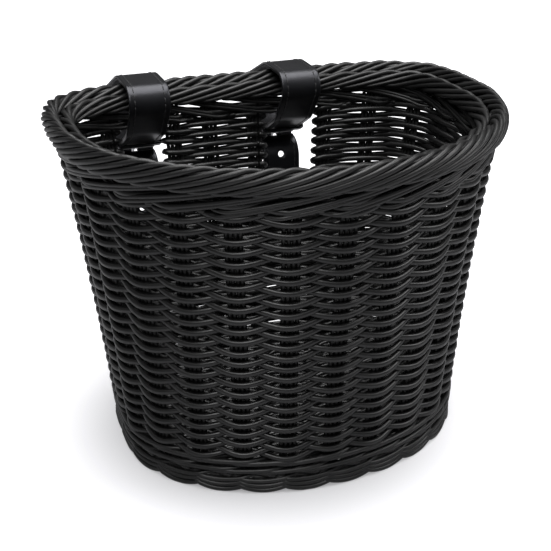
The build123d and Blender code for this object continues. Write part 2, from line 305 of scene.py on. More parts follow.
@dataclass(frozen=True)
class PaperFinish:
    """Seamless pale studio floor, which glows away from the basket so that no horizon shows, and glows less
    close to it: a painted contact shadow, off-centre to the left front.
    """

    name: str
    colour: Triple = (0.42, 0.42, 0.43)
    # Bluish emission colour, which tints the painted shadow.
    painted_shadow_glow: Triple = (0.985, 0.98, 1.0)
    # Centre of the painted shadow, moved to the left front, away from the lights on the right.
    middle: Triple = (-0.012, -0.01, 0.0)
    near: Pair = (0.02, 0.0)
    far: Pair = (0.19, 1.05)

    def material(self) -> Material:
        """Build the finish: near and far are each a distance and the emission there, low near the basket for
        the painted shadow.
        """
        shader = Shader(self.name, Base_Color=(*self.colour, 1.0), Roughness=0.9, Specular_IOR_Level=0.1,
                        Emission_Color=(*self.painted_shadow_glow, 1.0))
        distance = shader.add("VectorMath", operation="DISTANCE")
        distance.inputs[1].default_value = self.middle
        shader.join(shader.add("TexCoord"), "Object", distance, 0)
        # Emission strength: dark near the basket as a painted contact shadow, rising to full white far off.
        painted_shadow_glow = shader.set(shader.add("MapRange", interpolation_type="SMOOTHSTEP"), From_Min=self.near[0],
                          From_Max=self.far[0], To_Min=self.near[1], To_Max=self.far[1])
        shader.join(distance, "Value", painted_shadow_glow, "Value")
        camera_painted_shadow_glow = shader.add("Math", operation="MULTIPLY")
        shader.join(painted_shadow_glow, "Result", camera_painted_shadow_glow, 0)
        shader.join(shader.add("LightPath"), "Is Camera Ray", camera_painted_shadow_glow, 1)
        shader.join(camera_painted_shadow_glow, "Value", shader.surface, "Emission Strength")
        return shader.material


@dataclass
class Piece:
    """Mesh under construction: vertices, faces and the tone of each vertex."""

    name: str
    vertices: list[np.ndarray] = field(default_factory=list)
    faces: list[tuple[int, ...]] = field(default_factory=list)
    tones: list[np.ndarray] = field(default_factory=list)
    count: int = 0

    def extend(self, vertices: np.ndarray, faces: list[Any], tone: float) -> None:
        """Add a closed shell whose faces count from zero."""
        self.faces += [tuple(self.count + index for index in face) for face in faces]
        self.vertices.append(vertices)
        self.tones.append(np.full(len(vertices), tone))
        self.count += len(vertices)

    def loft(self, rings: np.ndarray, tone: float, wrap: bool = False) -> None:
        """Add a shell through rings of points.

        Args:
            rings: points of each ring.
            tone: shade of the shell, 0 to 1.
            wrap: whether the last ring joins the first, or both are capped.
        """
        spot = np.arange(rings.shape[0] * rings.shape[1]).reshape(rings.shape[:2])
        after, onward = np.roll(spot, -1, axis=0), np.roll(spot, -1, axis=1)
        quads = np.stack([spot, after, np.roll(after, -1, axis=1), onward], axis=-1)
        caps = [] if wrap else [spot[0].tolist(), spot[-1, ::-1].tolist()]
        faces = (quads if wrap else quads[:-1]).reshape(-1, 4).tolist()
        self.extend(rings.reshape(-1, 3), caps + faces, tone)

    def tube(self, path: np.ndarray, out: np.ndarray, radius: float, tone: float,
             sides: int = STRAND_SIDES, flat: float = 1.0) -> None:
        """Add a round or flattened strand with domed ends.

        Args:
            path: points along the middle of the strand.
            out: direction that faces away from the wall at each point.
            radius: half thickness of the strand.
            tone: shade of the strand, 0 to 1.
            sides: vertices round the strand.
            flat: how much wider than thick the strand is.
        """
        heading = unit(np.gradient(path, axis=0))
        reach, shrink = np.array(STRAND_END)
        reach = radius * reach[:, None]
        path = np.vstack([path[0] - reach * heading[0], path, path[-1] + reach[::-1] * heading[-1]])
        heading, out = (np.vstack([rows[[0, 0]], rows, rows[[-1, -1]]]) for rows in (heading, out))
        thick = radius * np.concatenate([shrink, np.ones(len(path) - 4), shrink[::-1]])
        across = unit(np.cross(heading, out))
        turn = np.linspace(0, 2 * math.pi, sides, endpoint=False)[:, None]
        ring = np.cross(across, heading)[:, None] * np.cos(turn) + across[:, None] * np.sin(turn) * flat
        self.loft(path[:, None] + ring * thick[:, None, None], tone)

    def build(self, finish: Material, slot: Slot, body: str, *nodes: str) -> None:
        """Make the object, dress it and hang it on its body.

        Args:
            finish: material of the piece.
            slot: slot of the record that it belongs to; not used.
            body: body that it rides on.
            nodes: frame nodes that it stands for.
        """
        mesh = bpy.data.meshes.new(self.name)
        mesh.from_pydata(np.vstack(self.vertices).tolist(), [], self.faces)
        mesh.shade_smooth()
        tone = mesh.attributes.new("tone", "FLOAT", "POINT")
        tone.data.foreach_set("value", np.concatenate(self.tones).astype(np.float32))
        mesh.materials.append(finish)
        piece = placed(self.name, mesh)
        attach(piece, body)
        if nodes:
            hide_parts(*nodes)
        log.info("%s: %d faces on %s", self.name, len(self.faces), body)


@dataclass
class TubForm:
    """Middle surface of the wall: a D-shaped ring at each level, from the foot to the rim."""

    rim_half_width: float = 116.7 * MM
    rim_front: float = 111.7 * MM
    rim_back: float = 66.8 * MM
    rim_back_power: float = 4.5
    foot_half_width: float = 94.4 * MM
    foot_front: float = 68.8 * MM
    foot_back: float = 78.5 * MM
    foot_back_power: float = 3.76
    front_power: float = 2.0
    foot_shift: float = -20.6 * MM
    rim_height: float = 182.4 * MM
    rim_tilt: float = 0.025
    bow: float = 1.7 * MM
    level_step: float = 5.0 * MM
    levels: int = 42
    columns: int = 1440
    rings: np.ndarray = field(init=False)
    normals: np.ndarray = field(init=False)
    lengths: np.ndarray = field(init=False)

    def __post_init__(self) -> None:
        """Lay out the ring of every level at even steps of its length."""
        outlines = [self.outline(index * self.level_step) for index in range(self.levels)]
        self.lengths = np.array([travelled(ring)[-1] for ring in outlines])
        self.rings = np.array([resampled(ring, np.linspace(0, length, self.columns + 1)[:-1])
                               for ring, length in zip(outlines, self.lengths)])
        heading = unit(np.roll(self.rings, -2, axis=1) - np.roll(self.rings, 2, axis=1))
        self.normals = np.stack([heading[..., 1], -heading[..., 0]], axis=-1)

    def outline(self, level: float) -> np.ndarray:
        """Closed ring of points at a level, from the front's middle towards +X."""
        share = level / self.rim_height
        width, front, back, back_power = (low + (high - low) * share for low, high in (
            (self.foot_half_width, self.rim_half_width), (self.foot_front, self.rim_front),
            (self.foot_back, self.rim_back), (self.foot_back_power, self.rim_back_power)))
        turn = np.linspace(-math.pi / 2, 1.5 * math.pi, 2 * self.columns + 1)
        power = np.where(np.sin(turn) < 0, self.front_power, back_power)
        depth = np.where(np.sin(turn) < 0, front, back)
        reach = (np.abs(np.cos(turn)) ** power + np.abs(np.sin(turn)) ** power) ** (-1 / power)
        x = width * np.cos(turn) * reach
        y = depth * np.sin(turn) * reach + self.foot_shift * (1 - share)
        return np.stack([x, y], axis=1)

    def sample(self, table: np.ndarray, level: np.ndarray, share: np.ndarray) -> np.ndarray:
        """Read a table between its levels and columns."""
        row = np.clip(level / self.level_step, 0, self.levels - 1.001)
        column = (share % 1.0) * self.columns
        row_low, column_low = np.floor(row).astype(int), np.floor(column).astype(int) % self.columns
        column_high = (column_low + 1) % self.columns
        up, on = (row - row_low)[..., None], (column - np.floor(column))[..., None]
        low = table[row_low, column_low] * (1 - on) + table[row_low, column_high] * on
        high = table[row_low + 1, column_low] * (1 - on) + table[row_low + 1, column_high] * on
        return low * (1 - up) + high * up

    def length(self, level: Any) -> Any:
        """Length of the ring at a level."""
        return np.interp(level, np.arange(self.levels) * self.level_step, self.lengths)

    def place(self, level: Any, share: Any, out: Any) -> tuple[np.ndarray, np.ndarray]:
        """Points on or beside the wall.

        Args:
            level: height on the wall before the rim's tilt.
            share: share of the way round from the front's middle.
            out: distance outwards from the middle of the wall.

        Returns:
            The points, and the level outward direction at each.
        """
        level, share, out = np.broadcast_arrays(*(np.asarray(part, float) for part in (level, share, out)))
        normal = unit(self.sample(self.normals, level, share))
        hollow = self.bow * np.sin(math.pi * np.clip(level / self.rim_height, 0, 1))
        flat = self.sample(self.rings, level, share) + normal * (out - hollow)[..., None]
        height = level - self.rim_tilt * flat[..., 1] * level / self.rim_height
        points = np.concatenate([flat, height[..., None]], axis=-1)
        return points, np.concatenate([normal, 0 * height[..., None]], axis=-1)

    def strand(self, piece: Piece, level: Any, share: Any, out: Any, radius: float, tone: float,
               flat: float = 1.0) -> None:
        """Lay a strand on or beside the wall.

        Args:
            piece: piece that takes the strand.
            level: height on the wall before the rim's tilt.
            share: share of the way round from the front's middle.
            out: distance outwards from the middle of the wall.
            radius: half thickness of the strand.
            tone: shade of the strand, 0 to 1.
            flat: how much wider than thick the strand is.
        """
        piece.tube(*self.place(level, share, out), radius, tone, flat=flat)


@dataclass
class StakeRow:
    """Stakes of the wall: bundles of four rods that everything is woven round."""

    form: TubForm
    right_slot_stake: float = 0.4204
    left_slot_stake: float = -0.376
    round_stakes: int = 20
    round_sway: float = 0.0065
    middle_stakes: tuple[float, ...] = (-0.5115, -0.469, -0.4352)
    rods: int = 4
    rod_radius: float = 1.18 * MM
    rod_pitch: float = 2.42 * MM
    bottom: float = 7.0 * MM
    top: float = 178.0 * MM
    front_edge: float = -40.0 * MM
    back_edge: float = 45.0 * MM
    wander: float = 0.12 * MM
    # Top of the rods' random tone, kept low: painted shade on the rods sunk between the rows.
    lightest_in_painted_shade: float = 0.7

    def round_places(self) -> np.ndarray:
        """Shares of the stakes from the left slot round the front to the right slot."""
        index = np.arange(self.round_stakes)[::-1]
        run = (self.left_slot_stake - self.right_slot_stake) / (self.round_stakes - 1)
        sway = self.round_sway * np.sin(math.pi * index / (self.round_stakes - 1))
        return self.right_slot_stake + run * index - sway

    def middle_places(self) -> np.ndarray:
        """Shares of the stakes between the slots, carried on past the right slot."""
        return np.array(self.middle_stakes) + 1.0

    def places(self) -> np.ndarray:
        """Shares of all the stakes."""
        return np.concatenate([self.round_places(), self.middle_places()])

    def share(self, count: np.ndarray) -> np.ndarray:
        """Share of the way round at a running count of stakes, where 0 is the first left of the slots."""
        ring = self.places()
        total = len(ring)
        turns = np.floor(count / total)
        known = np.concatenate([ring[-1:] - 1, ring, ring[:1] + 1])
        return np.interp(count - turns * total, np.arange(-1, total + 1), known) + turns

    def number(self) -> int:
        """How many stakes there are."""
        return self.round_stakes + len(self.middle_stakes)

    def wall_of(self, place: float) -> str:
        """Name of the wall that a stake stands in."""
        middle, _ = self.form.place((self.bottom + self.top) / 2, place, 0.0)
        if middle[1] < self.front_edge:
            return "front"
        if middle[1] > self.back_edge:
            return "back"
        return "left" if middle[0] < 0 else "right"

    def dress(self, finish: Material, rng: Random) -> None:
        """Build the rods, one piece to each wall.

        Args:
            finish: material of the rods.
            rng: source of their slight wander.
        """
        pieces = {wall: Piece("stakes_of_" + wall) for wall in ("front", "left", "right", "back")}
        level = np.linspace(self.bottom, self.top, 34)
        knots = np.linspace(self.bottom, self.top, 9)
        for place in self.places():
            for rod in range(self.rods):
                aside = (rod - (self.rods - 1) / 2) * self.rod_pitch
                wander = np.interp(level, knots, rng.normal(0, self.wander, len(knots)))
                share = place + (aside + wander) / self.form.length(level)
                self.form.strand(pieces[self.wall_of(place)], level, share, 0.0, self.rod_radius,
                                 rng.uniform(0, self.lightest_in_painted_shade))
        for wall, piece in pieces.items():
            piece.build(finish, Slot.STAKE, "basket", "stakes_" + wall)


@dataclass
class SideWeave:
    """Plain weave of single strands, one row over and one row under each stake."""

    form: TubForm
    stakes: StakeRow
    strand_radius: float = 1.6 * MM
    first_level: float = 22.0 * MM
    row_pitch: float = 3.17 * MM
    lower_rows: int = 27
    upper_rows: int = 21
    swing: float = 2.75 * MM
    sink: float = 1.4 * MM
    slack: float = 0.4 * MM
    flat: float = 1.1
    back_calm: float = 0.1
    back: Pair = (0.3, 0.38)
    uneven: Pair = (0.22 * MM, 0.1 * MM)
    sharpness: float = 0.3
    turn_reach: float = 6.5 * MM
    steps: int = 11

    def level(self, row: Any, share: Any) -> Any:
        """Level of a row, which climbs by one pitch each time round."""
        return self.first_level + self.row_pitch * (row + share + 0.5)

    def strand(self, piece: Piece, level: np.ndarray, share: np.ndarray, sway: np.ndarray,
               rng: Random) -> None:
        """Lay a strand, low where it passes outside a stake and high behind it.

        Args:
            piece: piece that takes the strand.
            level: level of the row at each point.
            share: share of the way round.
            sway: how far out the strand is, -1 to 1.
            rng: source of its unevenness.
        """
        index = np.arange(len(level))
        knots = np.linspace(0, len(level) - 1, max(4, len(level) // self.steps + 1))
        uneven, proud = (np.interp(index, knots, rng.normal(0, size, len(knots))) for size in self.uneven)
        calm = self.back_calm * rise_to(np.abs(share - np.round(share)), *self.back)
        drop = (self.sink * sway + self.slack * sway ** 2) * (1 - calm)
        self.form.strand(piece, level - drop + uneven, share, sway * self.swing + proud,
                         self.strand_radius, rng.uniform(0, 1), self.flat)

    def spiral(self, rng: Random) -> Piece:
        """Rows below the slots, which run on round the tub."""
        piece = Piece("side_weave_lower")
        total = self.stakes.number()
        for row in range(self.lower_rows):
            count = np.linspace(0, total, total * self.steps + 1) + row * total
            share = self.stakes.share(count) - row
            self.strand(piece, self.level(row, share), share, over_and_under(self.sharpness, count), rng)
        return piece

    def switchback(self, name: str, places: np.ndarray, offset: int, rng: Random) -> Piece:
        """Rows that turn back round the last stake on each side.

        Args:
            name: name of the piece.
            places: shares of the stakes that the rows weave between.
            offset: count of whole turns in those shares.
            rng: source of the strands' unevenness.

        Returns:
            The piece, ready to be built.
        """
        piece = Piece(name)
        last = len(places) - 1
        onward = np.linspace(0, last, last * self.steps + 1)
        bend = np.linspace(0, math.pi, 9)[1:-1]
        for first in range(0, self.upper_rows, 2):
            parts = []
            for row in range(first, min(first + 2, self.upper_rows)):
                side = 1 if row == first else -1
                share = np.interp(onward[::side], np.arange(last + 1), places)
                sway = -side * over_and_under(self.sharpness, onward[::side])
                level = self.level(row + self.lower_rows, share - offset)
                reach = side * self.turn_reach * np.sin(bend) / self.form.length(level[-1])
                climb = self.level(row + self.lower_rows + bend / math.pi, share[-1] - offset)
                parts += [(level, share, sway), (climb, share[-1] + reach, sway[-1] * np.cos(bend))]
            self.strand(piece, *(np.concatenate(part) for part in zip(*parts)), rng)
        return piece

    def dress(self, finish: Material, rng: Random) -> None:
        """Build the three parts of the side weave."""
        self.spiral(rng).build(finish, Slot.WEAVE, "basket", "weave_front", "weave_left", "weave_right",
                               "weave_back_lower")
        around = self.switchback("side_weave_upper", self.stakes.round_places(), 0, rng)
        around.build(finish, Slot.WEAVE, "basket", "weave_back_left", "weave_back_right")
        middle = self.switchback("back_weave_middle", self.stakes.middle_places(), 1, rng)
        middle.build(finish, Slot.WEAVE, "basket", "weave_back_middle")


@dataclass(frozen=True)
class Roll:
    """One roll of the rim, measured outwards and upwards from the middle of the wall's edge.

    The arc is in degrees from the outside over the top, the lay is the strands' slope on the sides and
    on the top, and each core strand has a rise and a shift from the roll's middle, and a radius.
    """

    piece: str
    node: str
    middle: Pair
    radii: Pair
    arc: Pair
    strands: int
    lay: Pair
    core: tuple[Triple, ...]


@dataclass
class RimBorder:
    """Rolled rim: the stakes' rods laid over the edge in groups, with waling below."""

    form: TubForm
    stakes: StakeRow
    rolls: tuple[Roll, ...] = (
        Roll("rim_roll_outer", "rim_border_outer", (3.4 * MM, 0.0), (3.6 * MM, 6.6 * MM), (-58.0, 172.0),
             3, (0.27, 0.42),
             ((4.0 * MM, 0.0, 2.2 * MM), (0.0, 0.0, 2.4 * MM), (-4.0 * MM, -0.5 * MM, 2.2 * MM))),
        Roll("rim_roll_inner", "rim_border_inner", (-4.7 * MM, -1.8 * MM), (2.4 * MM, 4.6 * MM),
             (20.0, 244.0), 2, (0.2, 0.26),
             ((2.0 * MM, 0.0, 1.5 * MM), (0.0, 0.0, 1.6 * MM), (-2.5 * MM, 0.6 * MM, 1.6 * MM))))
    strand_radius: float = 1.42 * MM
    wander: float = 0.12 * MM
    start_wander: float = 0.0007
    spread: float = 0.94
    crown: Pair = (0.34 * MM, 1.9 * MM)
    tuck: float = 1.3 * MM
    groups: int = 23
    wale_bottom: float = 164.6 * MM
    wale_pitch: float = 2.7 * MM
    wale_rise: float = 6.1 * MM
    wale_radius: float = 1.3 * MM
    wale_span: float = 2.9
    wale_out: float = 3.1 * MM
    wale_hook: float = 3.4 * MM
    wale_dip: float = 3.0 * MM

    def roll(self, roll: Roll, finish: Material, rng: Random) -> None:
        """Build a roll from strands laid round its oval, and plain ones inside that fill the gaps.

        Args:
            roll: the roll.
            finish: material of the strands.
            rng: source of their unevenness.
        """
        piece = Piece(roll.piece)
        centre, middle = roll.middle[0], self.form.rim_height + roll.middle[1]
        turn = np.radians(np.linspace(*roll.arc, 30))
        x, z = roll.radii[0] * np.cos(turn), roll.radii[1] * np.sin(turn)
        steps = np.hypot(np.diff(x), np.diff(z))
        over = np.clip(np.sin((turn[1:] + turn[:-1]) / 2), 0, 1) ** 2
        slope = roll.lay[0] + (roll.lay[1] - roll.lay[0]) * over
        run = np.concatenate([[0.0], np.cumsum(steps / slope)]) / self.form.length(self.form.rim_height)
        part = np.concatenate([[0.0], np.cumsum(steps)]) / steps.sum()
        tuck = self.tuck * (rise_to(part, 0.12, 0.0) ** 2 + rise_to(part, 0.9, 1.0) ** 2)
        for group in range(self.groups):
            swell = rng.normal(0, self.wander)
            for strand in range(roll.strands):
                within = (strand - (roll.strands - 1) / 2) / roll.strands
                start = (group + within * self.spread) / self.groups + rng.normal(0, self.start_wander)
                crown = self.crown[0] - self.crown[1] * within ** 2 + swell + rng.normal(0, self.wander)
                crown = crown * np.sin(math.pi * np.clip(part * 1.1, 0, 1)) - tuck
                path, normal = self.form.place(middle + z + np.sin(turn) * crown, start + run,
                                               centre + x + np.cos(turn) * crown)
                face = normal * np.cos(turn)[:, None] + np.array([0, 0, 1.0]) * np.sin(turn)[:, None]
                piece.tube(path, face, self.strand_radius, rng.uniform(0.1, 1))
        for rise, shift, radius in roll.core:
            self.form.strand(piece, middle + rise, np.linspace(0, 1, 181), centre + shift, radius, 0.0)
        piece.build(finish, Slot.BORDER, "basket", roll.node)

    def waling(self, rng: Random) -> Piece:
        """Pairs that hook out between two stakes and sweep up under the roll."""
        piece = Piece("rim_waling")
        span = np.linspace(0, 1, 40)
        hook = self.wale_hook * rise_to(span, 0.15, 0.0) ** 2
        out = self.wale_out * (1 - 1.5 * rise_to(span, 0.13, 0.0) ** 1.5)
        out = out - self.wale_dip * rise_to(span, 0.86, 1.0) ** 1.5
        for stake in range(self.groups):
            for strand in range(2):
                share = self.stakes.share(stake - 0.55 + 0.12 * strand
                                          + span * (self.wale_span + 0.2 * strand))
                level = (self.wale_bottom + strand * self.wale_pitch + hook + rng.normal(0, self.wander)
                         + self.wale_rise * (span * self.wale_span - 0.3))
                level = np.maximum(level, self.wale_bottom)
                for rise, side in ((0.0, 1), (1.0 * MM, -1)):
                    self.form.strand(piece, level + rise, share, side * out, self.wale_radius,
                                     rng.uniform(0.1, 1))
        return piece

    def dress(self, finish: Material, rng: Random) -> None:
        """Build both rolls and the waling."""
        for roll in self.rolls:
            self.roll(roll, finish, rng)
        self.waling(rng).build(finish, Slot.BORDER, "basket", "rim_wale")


@dataclass
class FootBraid:
    """Scalloped braid that the basket stands on, and the waling above it."""

    form: TubForm
    stakes: StakeRow
    strand_radius: float = 1.5 * MM
    scallop_strands: int = 3
    scallop_nest: float = 2.9 * MM
    scallop_span: float = 1.9
    scallop_top: float = 10.4 * MM
    scallop_dip: float = 8.9 * MM
    scallop_out: float = 4.4 * MM
    lowest: float = 1.55 * MM
    core: tuple[Pair, ...] = ((2.6 * MM, 0.0), (5.0 * MM, 1.0 * MM), (5.2 * MM, -1.6 * MM), (8.0 * MM, 0.0))
    core_radius: float = 1.9 * MM
    wale_bottom: float = 12.6 * MM
    wale_pitch: float = 5.4 * MM
    wale_rows: int = 2
    wale_swing: float = 2.8 * MM

    def scallops(self, rng: Random) -> Piece:
        """Groups that dip under the edge and come up again, each over the one before."""
        piece = Piece("foot_braid")
        span = np.linspace(0, 1, 30)
        arch = np.sin(math.pi * span)
        for stake in range(self.stakes.number()):
            for strand in range(self.scallop_strands):
                nest = strand * self.scallop_nest
                share = self.stakes.share(stake - 0.45 + 0.05 * strand
                                          + span * (self.scallop_span - 0.1 * strand))
                level = self.scallop_top - (self.scallop_dip - nest) * arch ** 0.8 + 1.2 * MM * (span - 0.5)
                level = np.maximum(level + rng.normal(0, 0.08 * MM), self.lowest)
                out = (self.scallop_out - 0.1 * nest) * np.minimum(1.0, 1.5 * arch)
                out = -0.6 * MM + out - 1.2 * MM * span
                for shift, side in ((0.0, 1), (0.01, -1)):
                    self.form.strand(piece, level, share + shift, side * out, self.strand_radius,
                                     rng.uniform(0.1, 1))
        for level, out in self.core:
            self.form.strand(piece, level, np.linspace(0, 1, 181), out, self.core_radius, 0.0)
        return piece

    def waling(self, rng: Random) -> Piece:
        """Three-strand waling, in front of two stakes and behind one."""
        piece = Piece("foot_waling")
        total = self.stakes.number()
        count = np.linspace(0, total, total * 10 + 1)
        for row in range(self.wale_rows):
            for strand in range(3):
                phase = ((count + strand + row * 0.5) % 3.0) / 3.0
                sway = np.clip(2.6 * np.cos(2 * math.pi * (phase - 1 / 3)) + 0.9, -1, 1)
                climb = np.where(phase < 2 / 3, phase * 1.5 - 0.5, 2.5 - phase * 3.0)
                level = self.wale_bottom + row * self.wale_pitch + 2.5 * MM * climb + 1.2 * MM
                level = level + np.interp(count, np.arange(total + 1), rng.normal(0, 0.15 * MM, total + 1))
                smooth = np.convolve(np.pad(sway, 2, mode="edge"), np.ones(5) / 5, mode="valid")
                level = np.convolve(np.pad(level, 3, mode="edge"), np.ones(7) / 7, mode="valid")
                self.form.strand(piece, level, self.stakes.share(count), smooth * self.wale_swing,
                                 self.strand_radius, rng.uniform(0, 1))
        return piece

    def dress(self, finish: Material, rng: Random) -> None:
        """Build the braid and the waling."""
        self.scallops(rng).build(finish, Slot.BORDER, "basket", "foot_border")
        self.waling(rng).build(finish, Slot.WEAVE, "basket", "foot_wale")


@dataclass
class Floor:
    """Woven floor: strands from side to side over and under nine sticks."""

    form: TubForm
    strand_radius: float = 1.3 * MM
    strand_pitch: float = 2.8 * MM
    stick_pitch: float = 17.0 * MM
    level: float = 7.5 * MM
    inset: float = 5.0 * MM
    swing: float = 2.5 * MM
    sharpness: float = 1.7
    wander: float = 0.1 * MM
    step: float = 1.2 * MM

    def dress(self, finish: Material, stick_finish: Material,
              rng: Random) -> None:
        """Build the mat and finish its sticks.

        Args:
            finish: material of the strands.
            stick_finish: material of the sticks.
            rng: source of the strands' unevenness.
        """
        piece = Piece("floor_weave")
        edge, _ = self.form.place(self.level, np.linspace(0, 1, 721), -self.inset)
        low, high = edge[:, 1].min(), edge[:, 1].max()
        rows = int((high - low) / self.strand_pitch)
        for row in range(1, rows):
            y = low + (high - low) * row / rows
            right = edge[:361]
            reach = abs(float(right[np.argmin(np.abs(right[:, 1] - y)), 0]))
            x = np.linspace(-reach, reach, max(8, int(reach / self.step)))
            sway = over_and_under(self.sharpness, x / self.stick_pitch + row)
            y = np.full_like(x, y) + rng.normal(0, self.wander)
            path = np.stack([x, y, self.level + self.swing * sway], axis=1)
            piece.tube(path, np.tile([0.0, 0.0, 1.0], (len(x), 1)), self.strand_radius, rng.uniform(0, 1))
        piece.build(finish, Slot.WEAVE, "basket", "floor_mat")
        refinish("floor_sticks", stick_finish)


def refinish(node: str, finish: Material) -> None:
    """Give a kept frame node a better material in each of its slots."""
    kept = frame["nodes"][node]
    if not kept.material_slots:
        kept.data.materials.append(finish)
    for slot in kept.material_slots:
        slot.material = finish
    log.info("%s: kept, with %s", node, finish.name)


class SideRoute:
    """Route in side view, rounded at its corners, with a frame at any distance along it."""

    def __init__(self, corners: list[Pair], radii: list[float], step: float = 0.4 * MM) -> None:
        """Round the corners and walk the route in even steps.

        Args:
            corners: (y, z) corners of the route.
            radii: radius of each inner corner.
            step: distance between the route's own points.
        """
        spots = [np.array(corner, float) for corner in corners]
        points = [spots[0]]
        for index, radius in enumerate(radii, start=1):
            before, after = (unit(spots[index + way] - spots[index]) for way in (-1, 1))
            half = math.acos(float(np.clip(before @ after, -1, 1))) / 2
            middle = spots[index] + unit(before + after) * radius / math.sin(half)
            start, end = (spots[index] + leg * radius / math.tan(half) for leg in (before, after))
            first = math.atan2(*(start - middle)[::-1])
            sweep = (math.atan2(*(end - middle)[::-1]) - first + math.pi) % (2 * math.pi) - math.pi
            for part in np.linspace(0, 1, 24):
                angle = first + sweep * part
                points.append(middle + radius * np.array([math.cos(angle), math.sin(angle)]))
        points.append(spots[-1])
        rough = np.array(points)
        self.length = float(travelled(rough)[-1])
        self.at = np.linspace(0, self.length, int(self.length / step) + 2)
        self.points = resampled(rough, self.at)
        self.heading = unit(np.gradient(self.points, axis=0))

    def lay(self, along: np.ndarray, across: np.ndarray, right: np.ndarray, centre: float) -> np.ndarray:
        """Points beside the route.

        Args:
            along: distance along the route.
            across: distance along X from the middle of the strap.
            right: distance to the right of the route's heading, in side view.
            centre: X of the middle of the strap.

        Returns:
            The points in space.
        """
        y, z = (np.interp(along, self.at, self.points[:, axis]) for axis in (0, 1))
        run_y, run_z = (np.interp(along, self.at, self.heading[:, axis]) for axis in (0, 1))
        extra = np.minimum(along, 0) + np.maximum(along - self.length, 0)
        y, z = y + run_z * right + run_y * extra, z - run_y * right + run_z * extra
        return np.stack([across + centre, y, z], axis=-1)


